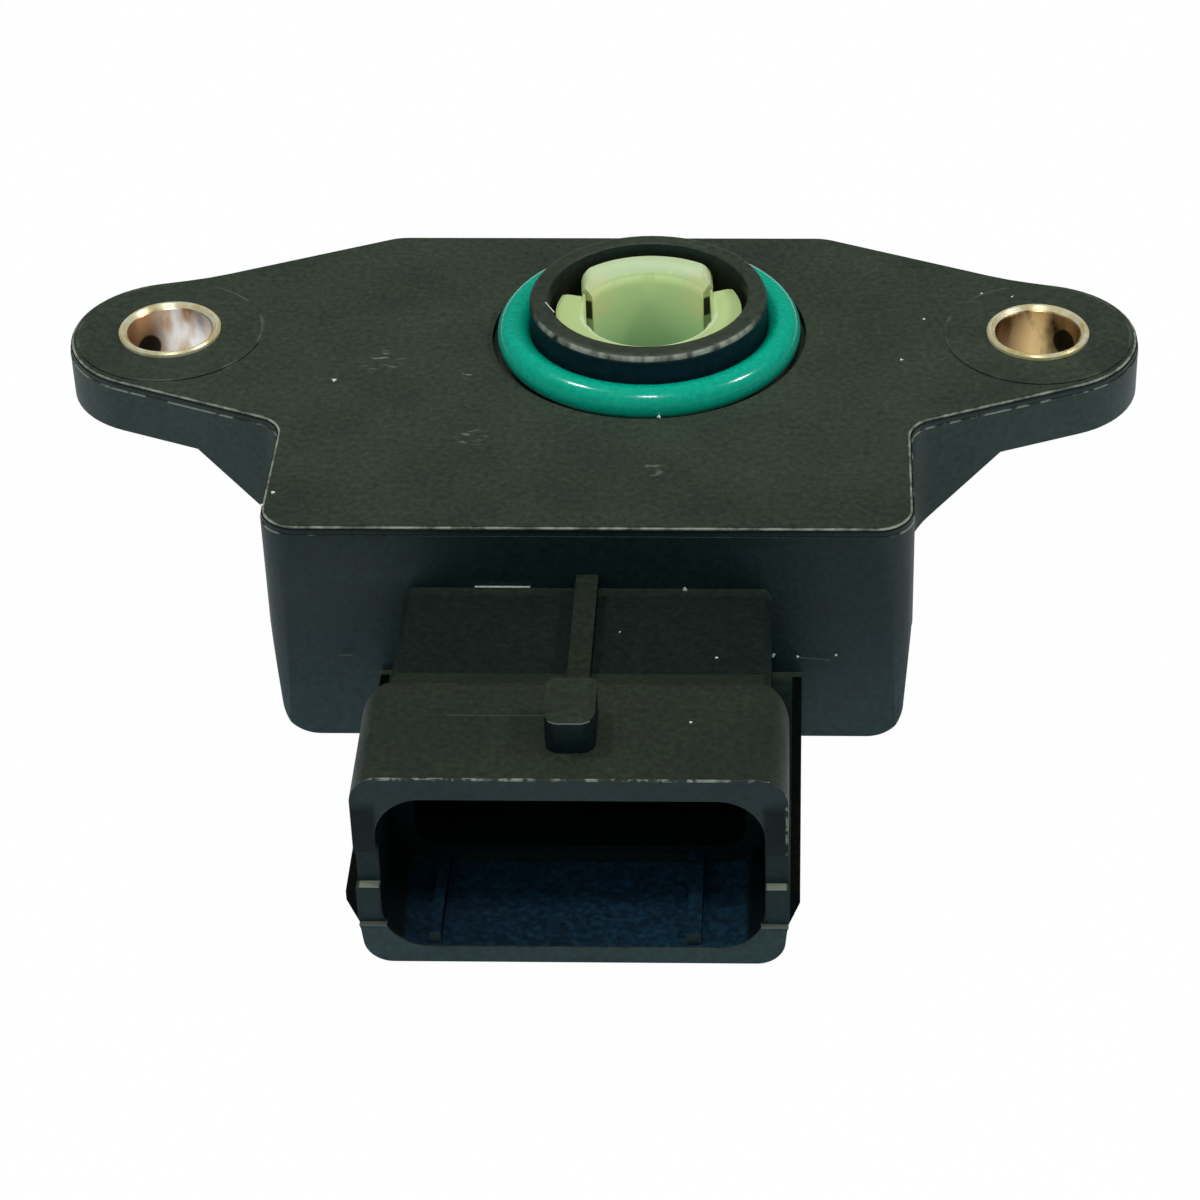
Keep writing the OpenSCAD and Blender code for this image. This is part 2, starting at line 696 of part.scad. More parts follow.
module terminal_seal() {
    color("#5b4a3a")
        difference() {
            translate([conn_x - seal_half, -front_y + wall, mid_z - blade_w / 2 - 1])
                cube([2 * seal_half, board_gap - 0.1, leg_t + 1.6]);
            for (i = [-1, 0, 1]) terminal(i);
        }
}

housing();
rear_cover();
bush_left();
bush_right();
o_ring();
rotor();
wiper();
track_board();
resistor_track();
collector_track();
trace_supply();
trace_signal();
trace_ground();
terminal_supply();
terminal_signal();
terminal_ground();
solder_supply();
solder_signal();
solder_ground();
wave_washer();
terminal_seal();
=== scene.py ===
import json
import math
import bmesh
import bpy
import numpy as np
from mathutils import Matrix, Vector

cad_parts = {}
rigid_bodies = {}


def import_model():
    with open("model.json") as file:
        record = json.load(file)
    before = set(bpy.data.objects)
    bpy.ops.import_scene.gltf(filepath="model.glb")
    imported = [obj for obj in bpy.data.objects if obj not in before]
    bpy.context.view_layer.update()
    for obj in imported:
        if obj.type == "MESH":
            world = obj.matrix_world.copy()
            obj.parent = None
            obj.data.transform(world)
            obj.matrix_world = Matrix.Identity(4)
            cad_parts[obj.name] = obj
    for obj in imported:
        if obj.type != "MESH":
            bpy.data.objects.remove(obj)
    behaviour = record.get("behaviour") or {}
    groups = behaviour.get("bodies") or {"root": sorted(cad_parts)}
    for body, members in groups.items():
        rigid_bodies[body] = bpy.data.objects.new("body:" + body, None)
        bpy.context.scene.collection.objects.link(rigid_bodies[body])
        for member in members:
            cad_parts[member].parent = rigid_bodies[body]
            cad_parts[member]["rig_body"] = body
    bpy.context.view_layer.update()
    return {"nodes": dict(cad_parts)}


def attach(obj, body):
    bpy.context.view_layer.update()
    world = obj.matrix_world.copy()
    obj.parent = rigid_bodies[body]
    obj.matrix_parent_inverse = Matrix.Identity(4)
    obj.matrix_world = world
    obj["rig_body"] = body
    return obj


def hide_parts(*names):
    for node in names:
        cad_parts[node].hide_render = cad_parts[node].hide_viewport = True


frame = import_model()
mm = 0.001  # lengths below are in millimetres, and this brings them to metres

view = {  # the camera's place, aim and lens, for a square image
    "place": (10.0, -193.8, 119.1),
    "yaw": -1.84,  # degrees about the vertical
    "pitch": 35.73,  # degrees downward
    "roll": -0.8,
    "focalPx": 3653.0,
    "axisPx": (713.7, 600.0),  # pixel that the lens axis passes through
    "imagePx": 1200.0,
    "sensorMm": 36.0,
    "clip": (0.01, 10.0),  # nearest and farthest, in metres
}


def aimedCamera(s):
    # ahead is where the lens points, and right and top are the picture's own directions
    yaw, pitch, roll = (math.radians(s[k]) for k in ("yaw", "pitch", "roll"))
    ahead = Vector((math.sin(yaw) * math.cos(pitch), math.cos(yaw) * math.cos(pitch), -math.sin(pitch)))
    level = Vector((math.cos(yaw), -math.sin(yaw), 0))
    up = level.cross(ahead)
    right = level * math.cos(roll) + up * math.sin(roll)
    top = up * math.cos(roll) - level * math.sin(roll)
    data = bpy.data.cameras.new("camera")
    data.sensor_width = s["sensorMm"]
    data.lens = s["focalPx"] / s["imagePx"] * s["sensorMm"]
    data.shift_x = (s["imagePx"] / 2 - s["axisPx"][0]) / s["imagePx"]
    data.shift_y = (s["axisPx"][1] - s["imagePx"] / 2) / s["imagePx"]
    data.clip_start, data.clip_end = s["clip"]
    turn = Matrix((right, top, -ahead)).transposed().to_4x4()
    camera = bpy.data.objects.new("camera", data)
    camera.matrix_world = Matrix.Translation(Vector(s["place"]) * mm) @ turn
    bpy.context.scene.collection.objects.link(camera)
    bpy.context.scene.camera = camera


aimedCamera(view)
print("camera set")


def linear(hexColour):
    parts = [int(hexColour[i:i + 2], 16) / 255 for i in (1, 3, 5)]
    return tuple(c / 12.92 if c <= 0.04045 else ((c + 0.055) / 1.055) ** 2.4 for c in parts) + (1.0,)


def add(tree, kind, inputs=None, **settings):
    # adds one node; an input is either a socket to link or a constant
    node = tree.nodes.new(kind)
    for name, value in settings.items():
        setattr(node, name, value)
    for name, value in (inputs or {}).items():
        if isinstance(value, bpy.types.NodeSocket):
            tree.links.new(value, node.inputs[name])
        else:
            node.inputs[name].default_value = value
    return node


def start(name):
    # an empty material: its tree, its shader and the object coordinates in millimetres
    material = bpy.data.materials.new(name)
    material.use_nodes = True
    tree = material.node_tree
    tree.nodes.clear()
    shader = add(tree, "ShaderNodeBsdfPrincipled")
    add(tree, "ShaderNodeOutputMaterial", {"Surface": shader.outputs[0]})
    place = add(tree, "ShaderNodeTexCoord").outputs["Object"]
    scaled = add(tree, "ShaderNodeVectorMath", {0: place, "Scale": 1 / mm}, operation="SCALE").outputs[0]
    return material, tree, shader, scaled


def folded(tree, operation, parts):
    # takes a row of values together, one after the other: MULTIPLY or MAXIMUM
    result = parts[0]
    for part in parts[1:]:
        result = add(tree, "ShaderNodeMath", {0: result, 1: part}, operation=operation).outputs[0]
    return result


def between(tree, value, low, high, soft=0.02):
    # 1 where value lies between low and high, falling to 0 over soft
    rise = add(tree, "ShaderNodeMapRange", {0: value, 1: low - soft, 2: low}).outputs[0]
    fall = add(tree, "ShaderNodeMapRange", {0: value, 1: high, 2: high + soft, 3: 1.0, 4: 0.0}).outputs[0]
    return folded(tree, "MULTIPLY", [rise, fall])


def marked(tree, known, limits, masks=(), strength=1.0):
    # strength inside all the limits (measure: from, to and softness), kept to the masks named
    parts = [between(tree, known[measure], *ends) for measure, ends in limits.items()]
    return folded(tree, "MULTIPLY", parts + [known[mask] for mask in masks] + [strength])


def noise(tree, place, size, detail=2.0, low=0.0, high=1.0, stretch=None):
    # noise with features of about size mm, brought from low..high to 0..1
    if stretch:
        place = add(tree, "ShaderNodeVectorMath", {0: place, 1: stretch}, operation="MULTIPLY").outputs[0]
    inputs = {"Vector": place, "Scale": 1 / size, "Detail": detail}
    raw = add(tree, "ShaderNodeTexNoise", inputs).outputs["Fac"]
    return add(tree, "ShaderNodeMapRange", {0: raw, 1: low, 2: high}).outputs[0]


def away(tree, value, centre):
    # distance of value from centre
    gap = add(tree, "ShaderNodeMath", {0: value, 1: centre}, operation="SUBTRACT").outputs[0]
    return add(tree, "ShaderNodeMath", {0: gap}, operation="ABSOLUTE").outputs[0]


def painted(tree, skin, layers):
    # lays each colour, a hex value or a socket, over the skin where its mask is
    for mask, colour in layers:
        under, over = (linear(c) if isinstance(c, str) else c for c in (skin, colour))
        skin = add(tree, "ShaderNodeMix", {0: mask, 6: under, 7: over}, data_type="RGBA").outputs[2]
    return skin


fineSkin = {  # what the plain materials share
    "clouds": (4, 0.3, 0.7),  # detail, low, high
    "rougher": 1.25,  # the pale parts of the clouds are rougher by this
    "bumpShare": 0.25,  # size of the bumps, as a share of the clouds'
    "bumpStrength": 0.3,
    "bumpMm": 0.01,
}


def surfaced(tree, shader, place, s):
    # roughness in soft clouds, a fine bump, and the values that are the same all over; gives the clouds
    cloud = noise(tree, place, s["cloudMm"], *fineSkin["clouds"])
    rough = {0: cloud, 3: s["roughness"], 4: s["roughness"] * fineSkin["rougher"]}
    tree.links.new(add(tree, "ShaderNodeMapRange", rough).outputs[0], shader.inputs["Roughness"])
    fine = noise(tree, place, s["cloudMm"] * fineSkin["bumpShare"])
    inputs = {"Height": fine, "Strength": fineSkin["bumpStrength"], "Distance": fineSkin["bumpMm"] * mm}
    bump = add(tree, "ShaderNodeBump", inputs)
    tree.links.new(bump.outputs[0], shader.inputs["Normal"])
    for name, value in s.get("shader", {}).items():
        shader.inputs[name].default_value = value
    return cloud


def plain(name, s):
    # one colour that gets darker in soft clouds, by the share that tone names
    material, tree, shader, place = start(name)
    cloud = surfaced(tree, shader, place, s)
    base = linear(s["colour"])
    darker = tuple(c * (1 - s["tone"]) for c in base[:3]) + (1.0,)
    tree.links.new(painted(tree, darker, [(cloud, base)]), shader.inputs["Base Color"])
    return material


def dress(obj, material):
    obj.data.materials.clear()
    obj.data.materials.append(material)


def softened(nodeName, s):
    # a merged copy of a CAD node whose sharp edges are rounded by edgeMm
    source = frame["nodes"][nodeName]
    mesh = source.data.copy()
    mesh.name = nodeName + "Rounded"
    sharp = math.radians(s["sharpDegrees"])
    nearlyFlat = math.radians(0.6)  # faces that meet at less than this become one
    weld = 2e-6  # metres
    work = bmesh.new()
    work.from_mesh(mesh)
    bmesh.ops.remove_doubles(work, verts=work.verts, dist=weld)
    bmesh.ops.dissolve_limit(work, angle_limit=nearlyFlat, verts=work.verts, edges=work.edges)
    for face in work.faces:
        face.smooth = True
    for edge in work.edges:
        edge.smooth = len(edge.link_faces) != 2 or edge.calc_face_angle(0) < sharp
    work.to_mesh(mesh)
    work.free()
    piece = bpy.data.objects.new(nodeName + "Rounded", mesh)
    bpy.context.scene.collection.objects.link(piece)
    bevel = piece.modifiers.new("edges", "BEVEL")
    bevel.width = s["edgeMm"] * mm
    bevel.segments = 2
    bevel.limit_method = "ANGLE"
    bevel.angle_limit = sharp
    bevel.miter_outer = "MITER_ARC"
    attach(piece, source["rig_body"])
    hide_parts(nodeName)
    return piece


# housing: glass-filled PBT, injection moulded: a dull near-black skin with fine grain, paler on worn edges
# and painted highlights, with painted shade on its walls and in its hollows
housingLooks = {
    "edgeMm": 0.14,
    "sharpDegrees": 32,
    "top": "#3a4235",
    "cloud": "#30382f",
    "wall": "#162527",  # painted shade: upright walls are darker and bluer than the faces that look up
    "earWall": "#263330",  # painted shade on the walls of the ears, greyer than on the other walls
    # painted shade on the outer faces of the neck, which the table of darker places darkens further
    "neck": "#2e3c36",
    "collarWall": "#183c4a",  # painted reflection of the ring and painted shade: the collar's outer wall takes some of the ring's colour
    # painted shade in the narrow gap inside the collar
    "collarInside": "#24291d",
    # pale worn edges, and painted highlights on some edges and ledges
    "worn": "#b3b4a3",
    "edgeShadow": "#060807",
    "mouthFloor": "#2c5673",  # painted bluish sheen on the floor of the plug opening
    # painted shade inside the plug opening
    "mouthWall": "#101c24",
    "bumpMm": 0.02,
    "middleX": -2.9,  # x of the body's middle
    "plugX": -2.85,  # x of the plug's middle
    "holeX": 27.0,  # from the body's middle to each screw hole
    "rimRadius": 7.3,
    "lowFrom": -6.0,  # z where painted light starts to make the walls paler toward the back edge
    "lowTo": -15.0,
    "lowTone": 2.2,  # times the tone, at lowTo
    "patterns": {  # noise: size in mm, detail, low, high, stretch
        "clouds": (6, 4, 0.35, 0.65),  # uneven skin, a few millimetres across
        "grain": (0.4, 4, 0.28, 0.72),  # the tool's grain is about 0.1 mm, drawn coarser so that it shows
        "points": (0.3, 2, 0.58, 0.74),  # glass fibre at the skin, also drawn coarser
        "flecks": (0.35, 2, 0.42, 0.7),  # breaks up the painted sheen on the floor of the plug opening
        "patches": (0.8, 4, 0.38, 0.62),  # where the top edge is worn, and where its painted highlight shows
        "dashes": (1.1, 3, 0.5, 0.57),  # broken flash
        "padWear": (2.6, 2, 0.45, 0.65),
        "chips": (0.55, 3, 0.47, 0.6),
        "scratches": (0.5, 3, 0.56, 0.64, (0.6, 1.6, 1)),  # drawn out to one side
    },
    "rimDashes": (0.75, 4, 0.3, 0.6),  # noise along the circle of the collar's rim, breaking up its painted highlight
    "beyond": {  # masks that are 1 where a measure is greater than this
        "ears": ("side", 15.6),
        "outline": ("collar", 10.3),
        "rim": ("collar", 7.02),
    },
    "gradients": {  # source, from, to, value at from, value at to
        "upright": ("level", 0.25, 0.8, 1.0, 0.0),  # 1 on walls
        # the next one sets how strong the painted sheen on the plug floor is along x
        "rightward": ("x", -12.0, 2.0, 0.45, 0.8),
        # the next one sets the painted shade toward the front of the top
        "nearFront": ("y", -9.0, -19.0, 0.0, 0.15),
        "flecks": ("flecks", 0.0, 1.0, 0.55, 1.5),
        "patches": ("patches", 0.0, 1.0, 0.2, 0.72),
        "grainTone": ("grain", 0.0, 1.0, 0.72, 1.28),
        "gloss": ("upright", 0.0, 1.0, 0.4, 0.28),  # specular level of the faces and of the walls
        "roughness": ("clouds", 0.0, 1.0, 0.56, 0.46),
    },
    # the rows below give limits in mm as from, to and softness, then other masks, then a strength
    "mouth": [  # the plug opening and the narrower room behind it
        ({"plug": (0, 10.6, 0.1), "y": (-41.3, -33.2, 0.1), "z": (-14.5, -3.8, 0.1)},),
        ({"plug": (0, 9.9, 0.1), "y": (-33.2, -24, 0.1), "z": (-14.5, -4.6, 0.1)},),
    ],
    "neckBox": ({"y": (-32.9, -22.2, 0.9), "z": (-16, -4.15, 0.1)},),
    "tints": [  # colours laid over the skin in this order, some of them painted shade, painted reflection and painted sheen
        ("worn", {}, ["points"], 0.035),
        ("mouthWall", {}, ["mouth"], 0.85),
        ("mouthFloor", {"z": (-14.5, -13.25, 0.1), "plug": (0, 9.3, 0.4)}, ["mouth", "rightward", "flecks"]),
        ("neck", {}, ["outerNeck"]),
        ("wall", {}, ["upright"]),
        ("earWall", {"y": (-17.5, 20, 2.0), "z": (-16, -0.4, 0.1)}, ["ears", "upright"]),
        ("collarWall", {"collar": (7.2, 7.6), "z": (-1.0, 2.3, 0.1)}),
        ("collarInside", {"collar": (5.9, 6.3), "z": (-1.0, 2.3, 0.1)}),
    ],
    "paintedShades": {  # places darkened by painted shade, and the share of the tone that they lose
        "neck": ({}, ["outerNeck"], 0.62),
        "rib": ({"y": (-32.9, -22.2, 0.9)}, [], 0.48),
        "wings": ({"plug": (11.9, 13), "y": (-41.2, -21.6)}, [], 0.92),
        "foot": ({"y": (-31.5, -23.0, 1.4), "z": (-16, -8, 1.0)}, [], 0.7),
        "shroud": ({"y": (-41.42, -32.9, 0.04)}, [], 0.38),
        "collarWall": ({"collar": (7.2, 7.6), "z": (-1.0, 2.3, 0.1)}, [], 0.6),
        "frontOfTop": ({"z": (-0.2, 0.3, 0.1)}, ["nearFront"]),
        "plugDepth": ({"y": (-35.2, -20, 0.8), "z": (-13.5, -4, 0.4)}, ["mouth"], 0.6),
        "sidesOfRim": ({"y": (-42, -41.4), "plug": (10.6, 13, 0.3), "z": (-12.2, -4.6, 0.8)}, [], 0.55),
        "keys": ({"z": (-13.95, -13.2, 0.1), "plug": (6.1, 8.05, 0.05)}, ["mouth"], 0.3),
    },
    "wearAndHighlights": {  # pale worn edges, parting flash and chips, and painted highlights on the top edge, the collar's rim, the nub and the ledges
        "topEdgeWearAndHighlight": ({"z": (-0.13, -0.05, 0.03), "y": (-21.7, 20)}, ["outline", "patches"]),
        "flash": ({"z": (-0.6, -0.53), "y": (-21.7, 20)}, ["outline", "ears", "dashes"], 0.5),
        "collarRimHighlight": ({"z": (2.52, 2.76, 0.07), "y": (-9, -4.5, 2.5)}, ["rim", "rimDashes"], 0.85),
        "pads": ({"hole": (5.66, 5.86), "z": (-0.05, 0.2)}, ["padWear"], 0.12),
        "nub": ({"plug": (0, 1.2, 0.2), "y": (-39.4, -38.95), "z": (-0.43, -0.35, 0.03)}, [], 0.4),
        "topLip": ({"y": (-42, -41.4), "z": (-2.49, -2.3, 0.04)}, ["chips"], 0.55),
        "sideLip": ({"y": (-42, -41.4), "x": (8.82, 9.4, 0.03), "z": (-9, -3, 0.5)}, ["chips"], 0.4),
        "ledgeGlints": ({"z": (-10.23, -10.17), "plug": (10.65, 11.65, 0.1), "y": (-41.5, -40.7)}, [], 0.55),
        "lowLedgeHighlight": ({"z": (-12.73, -12.67), "y": (-41.5, -41)}, [], 0.25),
    },
    "underEdge": ({"z": (-0.3, -0.2, 0.03), "y": (-21.7, 20)}, ["outline"], 0.85),  # dark line
    "scuffs": [  # x, y, radius
        (-16.3, -3.2, 1.3), (-10.8, -5.0, 0.5), (-10.2, -11.8, 0.9), (0.7, -15.3, 0.8),
    ],
    "scuffStrength": 0.35,
}


def mouldedBlack(s):
    material, tree, shader, place = start("glassFilledPbt")
    # measures in mm: x, y, z, distance from the collar's axis, the plug's middle, the body's and the holes
    parts = add(tree, "ShaderNodeSeparateXYZ", {0: place}).outputs
    known = {"x": parts[0], "y": parts[1], "z": parts[2]}
    flat = add(tree, "ShaderNodeVectorMath", {0: place, 1: (1, 1, 0)}, operation="MULTIPLY").outputs[0]
    known["collar"] = add(tree, "ShaderNodeVectorMath", {0: flat}, operation="LENGTH").outputs[1]
    known["plug"] = away(tree, known["x"], s["plugX"])
    known["side"] = away(tree, known["x"], s["middleX"])
    toHole = add(tree, "ShaderNodeCombineXYZ", {0: away(tree, known["side"], s["holeX"]), 1: known["y"]})
    known["hole"] = add(tree, "ShaderNodeVectorMath", {0: toHole.outputs[0]}, operation="LENGTH").outputs[1]
    normal = add(tree, "ShaderNodeTexCoord").outputs["Normal"]
    up = add(tree, "ShaderNodeSeparateXYZ", {0: normal}).outputs[2]
    known["level"] = away(tree, up, 0.0)  # 1 on faces that look up or down
    # masks
    for name, row in s["patterns"].items():
        known[name] = noise(tree, place, *row)
    angle = add(tree, "ShaderNodeMath", {0: known["y"], 1: known["x"]}, operation="ARCTAN2").outputs[0]
    run = folded(tree, "MULTIPLY", [angle, s["rimRadius"]])
    height = folded(tree, "MULTIPLY", [known["z"], 0.5])
    along = add(tree, "ShaderNodeCombineXYZ", {0: run, 1: height}).outputs[0]
    known["rimDashes"] = noise(tree, along, *s["rimDashes"])
    for name, (measure, edge) in s["beyond"].items():
        inputs = {0: known[measure], 1: edge}
        known[name] = add(tree, "ShaderNodeMath", inputs, operation="GREATER_THAN").outputs[0]
    for name, (source, *ends) in s["gradients"].items():
        inputs = dict(enumerate([known[source], *ends]))
        known[name] = add(tree, "ShaderNodeMapRange", inputs).outputs[0]
    known["mouth"] = folded(tree, "MAXIMUM", [marked(tree, known, *row) for row in s["mouth"]])
    inputs = {0: marked(tree, known, *s["neckBox"]), 1: known["mouth"]}
    known["outerNeck"] = add(tree, "ShaderNodeMath", inputs, operation="SUBTRACT", use_clamp=True).outputs[0]
    # skin: soft clouds, then the colour of each place, some of them painted shade, painted reflection and
    # painted sheen
    skin = painted(tree, s["cloud"], [(known["clouds"], s["top"])])
    skin = painted(tree, skin, [(marked(tree, known, *row), s[name]) for name, *row in s["tints"]])
    # tone: the painted shade, painted light that makes the low walls paler outside the plug opening, and the
    # grain
    shade = folded(tree, "MAXIMUM", [marked(tree, known, *row) for row in s["paintedShades"].values()])
    tone = add(tree, "ShaderNodeMath", {0: 1.0, 1: shade}, operation="SUBTRACT").outputs[0]
    lowest = add(tree, "ShaderNodeMapRange", {0: known["mouth"], 3: s["lowTone"], 4: 1.0}).outputs[0]
    inputs = {0: known["z"], 1: s["lowFrom"], 2: s["lowTo"], 3: 1.0, 4: lowest}
    lower = add(tree, "ShaderNodeMapRange", inputs).outputs[0]
    grey = folded(tree, "MULTIPLY", [tone, lower, known["grainTone"]])
    inputs = {0: 1.0, 6: skin, 7: grey}
    skin = add(tree, "ShaderNodeMix", inputs, data_type="RGBA", blend_type="MULTIPLY").outputs[2]
    # wear and painted highlights: worn edges, painted highlights on edges and ledges, and scuffs as broken
    # scratches inside small rounds on the mounting face
    worn = [marked(tree, known, *row) for row in s["wearAndHighlights"].values()]
    for x, y, radius in s["scuffs"]:
        inputs = {0: place, 1: (x, y, 0)}
        gap = add(tree, "ShaderNodeVectorMath", inputs, operation="DISTANCE").outputs[1]
        scuff = between(tree, gap, 0, 0.3 * radius, radius)
        worn.append(folded(tree, "MULTIPLY", [scuff, known["scratches"], s["scuffStrength"]]))
    line = marked(tree, known, *s["underEdge"])
    skin = painted(tree, skin, [(line, s["edgeShadow"]), (folded(tree, "MAXIMUM", worn), s["worn"])])
    tree.links.new(skin, shader.inputs["Base Color"])
    gloss = folded(tree, "MULTIPLY", [tone, known["gloss"]])
    tree.links.new(gloss, shader.inputs["Specular IOR Level"])
    tree.links.new(known["roughness"], shader.inputs["Roughness"])
    inputs = {"Height": known["grain"], "Strength": 0.5, "Distance": s["bumpMm"] * mm}
    tree.links.new(add(tree, "ShaderNodeBump", inputs).outputs[0], shader.inputs["Normal"])
    return material


black = mouldedBlack(housingLooks)
dress(softened("housing", housingLooks), black)
dress(frame["nodes"]["rear_cover"], black)
print("housing made")

ringLooks = {  # seal ring: moulded silicone-like rubber, glossy, so the lamps show as streaks
    "colour": "#00b898",
    "tone": 0.2,
    "cloudMm": 0.35,  # fine mottling of the rubber, drawn coarser so that it shows
    "roughness": 0.24,
    "shader": {"Specular IOR Level": 0.15, "Coat Weight": 1.0, "Coat Roughness": 0.13},
}

dress(frame["nodes"]["o_ring"], plain("tealSealRubber", ringLooks))

# driver: unfilled PBT, injection moulded, slightly translucent, with painted light that makes it whiter along
# its upper rims and painted shade lower down and in its slots
driverLooks = {
    "edgeMm": 0.16,
    "sharpDegrees": 50,
    "restDegrees": 4,  # how far the driver is turned about z at rest
    # painted shade low down and painted light high up: the colour goes from the first to the second with z
    "deep": "#a2c69a",
    "high": "#d3e59f",
    "heights": (-4.0, 1.9),  # z of these two colours
    "cloudMm": 2.2,
    "roughness": 0.42,
    "shader": {
        "Subsurface Weight": 0.12,
        "Subsurface Radius": (1.0, 1.0, 0.6),
        "Subsurface Scale": 0.4 * mm,
    },
    "tints": [  # colour, limits in mm (across and along are the driver's own directions), masks, strength
        ("#cbdcb6", {"z": (1.98, 3.0, 0.25)}, [], 0.75),  # painted light on the top of the tongue
        ("#9dbb74", {"axis": (4.3, 5.9, 0.1), "z": (1.3, 1.75, 0.1)}, [], 0.35),  # top of the rim
        # painted highlight: a pale edge round the front of the mouth of the bore
        ("#e6efd2", {"axis": (3.84, 4.3, 0.05), "z": (1.32, 1.62, 0.08), "along": (-6, -0.6, 0.4)}, [], 0.7),
        # painted light through the thin flanks of the tongue makes them yellower
        ("#dcd394", {"across": (2.9, 3.6, 0.9), "along": (0.4, 3.5, 0.4), "z": (0.2, 1.9, 0.8)}, [], 0.45),
        # painted shade: the slots beside the tongue are deep and stay dark
        ("#161b10",
            {"across": (3.52, 3.86, 0.04), "along": (0.6, 3.2, 0.2), "z": (-0.1, 1.05, 0.15)}, [], 0.95),
    ],
}


def mouldedPale(s):
    material, tree, shader, place = start("palePbt")
    surfaced(tree, shader, place, s)
    # measures in mm: z, distance from the axis, and the driver's own directions
    flat = add(tree, "ShaderNodeVectorMath", {0: place, 1: (1, 1, 0)}, operation="MULTIPLY").outputs[0]
    inputs = {"Vector": place, "Angle": -math.radians(s["restDegrees"])}
    turned = add(tree, "ShaderNodeVectorRotate", inputs, rotation_type="Z_AXIS").outputs[0]
    parts = add(tree, "ShaderNodeSeparateXYZ", {0: turned}).outputs
    known = {
        "z": parts[2],
        "axis": add(tree, "ShaderNodeVectorMath", {0: flat}, operation="LENGTH").outputs[1],
        "across": away(tree, parts[0], 0.0),
        "along": parts[1],
    }
    inputs = {0: known["z"], 1: s["heights"][0], 2: s["heights"][1]}
    height = add(tree, "ShaderNodeMapRange", inputs).outputs[0]
    skin = painted(tree, s["deep"], [(height, s["high"])])
    skin = painted(tree, skin, [(marked(tree, known, *row), colour) for colour, *row in s["tints"]])
    tree.links.new(skin, shader.inputs["Base Color"])
    return material


dress(softened("rotor", driverLooks), mouldedPale(driverLooks))
print("ring and driver made")

# bushes: turned brass, bright on the rim, stained inside the bore and streaked there with clean metal and
# painted reflection, with a dark spot of painted shade
bushLooks = {
    "cloudMm": 0.9,
    "roughness": 0.3,
    "middleX": -2.9,
    "holeX": 27.0,
    "boreMm": 2.66,  # inside this radius it is the bore
    "rim": ("#e6d08c", "#fff8dc"),
    "cleanAndReflected": ("#fff8f5", "#e8c388"),  # streaks of clean metal and painted reflection: left bush pinkish white, right one browner
    "stain": ("#c89054", "#4e2c0e"),
    "leftClean": (0.2, 1.7, 1.0, 0.1),  # outward from the hole's axis: from, to, share at from, share at to
    "rightClean": (-1.9, -0.2, 0.1, 1.0),
    "streaks": (1.1, 4, 0.28, 0.52, (1, 1, 0.4)),  # drawn out down the wall
    "shadeSpot": "#1d1814",  # painted shade: a dark round spot on the wall of each bore
    "spotPlace": (1.9, 1.75),  # outward from the hole's axis, and y
    "spotHeight": (-2.35, -1.75),  # z in the left bush and in the right one
    "spotLimits": (0, 0.9, 0.12),
    "spotStrength": 0.93,
    "metallic": (0.4, 0.9),  # rim, bore
}


def stainedBrass(s):
    material, tree, shader, place = start("turnedBrass")
    cloud = surfaced(tree, shader, place, s)
    # toHole is measured outward from the hole's axis, and side is 0 at the left bush and 1 at the right one
    parts = add(tree, "ShaderNodeSeparateXYZ", {0: place}).outputs
    side = add(tree, "ShaderNodeMath", {0: parts[0], 1: 0.0}, operation="GREATER_THAN").outputs[0]
    inputs = {0: away(tree, parts[0], s["middleX"]), 1: s["holeX"]}
    toHole = add(tree, "ShaderNodeMath", inputs, operation="SUBTRACT").outputs[0]
    local = add(tree, "ShaderNodeCombineXYZ", {0: toHole, 1: parts[1]}).outputs[0]
    radius = add(tree, "ShaderNodeVectorMath", {0: local}, operation="LENGTH").outputs[1]
    inside = between(tree, radius, 0, s["boreMm"])
    # streaks of clean metal and painted reflection over the stain
    shares = [add(tree, "ShaderNodeMapRange", dict(enumerate([toHole, *s[name]]))).outputs[0]
        for name in ("leftClean", "rightClean")]
    share = add(tree, "ShaderNodeMapRange", {0: side, 3: shares[0], 4: shares[1]}).outputs[0]
    streak = folded(tree, "MULTIPLY", [noise(tree, place, *s["streaks"]), share])
    stain, cleanAndReflected = (painted(tree, s[name][0], [(side, s[name][1])]) for name in ("stain", "cleanAndReflected"))
    bore = painted(tree, stain, [(streak, cleanAndReflected)])
    # the spot of painted shade
    whole = add(tree, "ShaderNodeCombineXYZ", {0: toHole, 1: parts[1], 2: parts[2]}).outputs[0]
    low = add(tree, "ShaderNodeMapRange", {0: side, 3: s["spotHeight"][0], 4: s["spotHeight"][1]}).outputs[0]
    inputs = {0: s["spotPlace"][0], 1: s["spotPlace"][1], 2: low}
    centre = add(tree, "ShaderNodeCombineXYZ", inputs).outputs[0]
    gap = add(tree, "ShaderNodeVectorMath", {0: whole, 1: centre}, operation="DISTANCE").outputs[1]
    shadeSpot = folded(tree, "MULTIPLY", [between(tree, gap, *s["spotLimits"]), s["spotStrength"]])
    bore = painted(tree, bore, [(shadeSpot, s["shadeSpot"])])
    rim = painted(tree, s["rim"][0], [(cloud, s["rim"][1])])
    tree.links.new(painted(tree, rim, [(inside, bore)]), shader.inputs["Base Color"])
    metal = add(tree, "ShaderNodeMapRange", {0: inside, 3: s["metallic"][0], 4: s["metallic"][1]}).outputs[0]
    tree.links.new(metal, shader.inputs["Metallic"])
    return material


brass = stainedBrass(bushLooks)
for name in ("bush_left", "bush_right"):
    dress(frame["nodes"][name], brass)

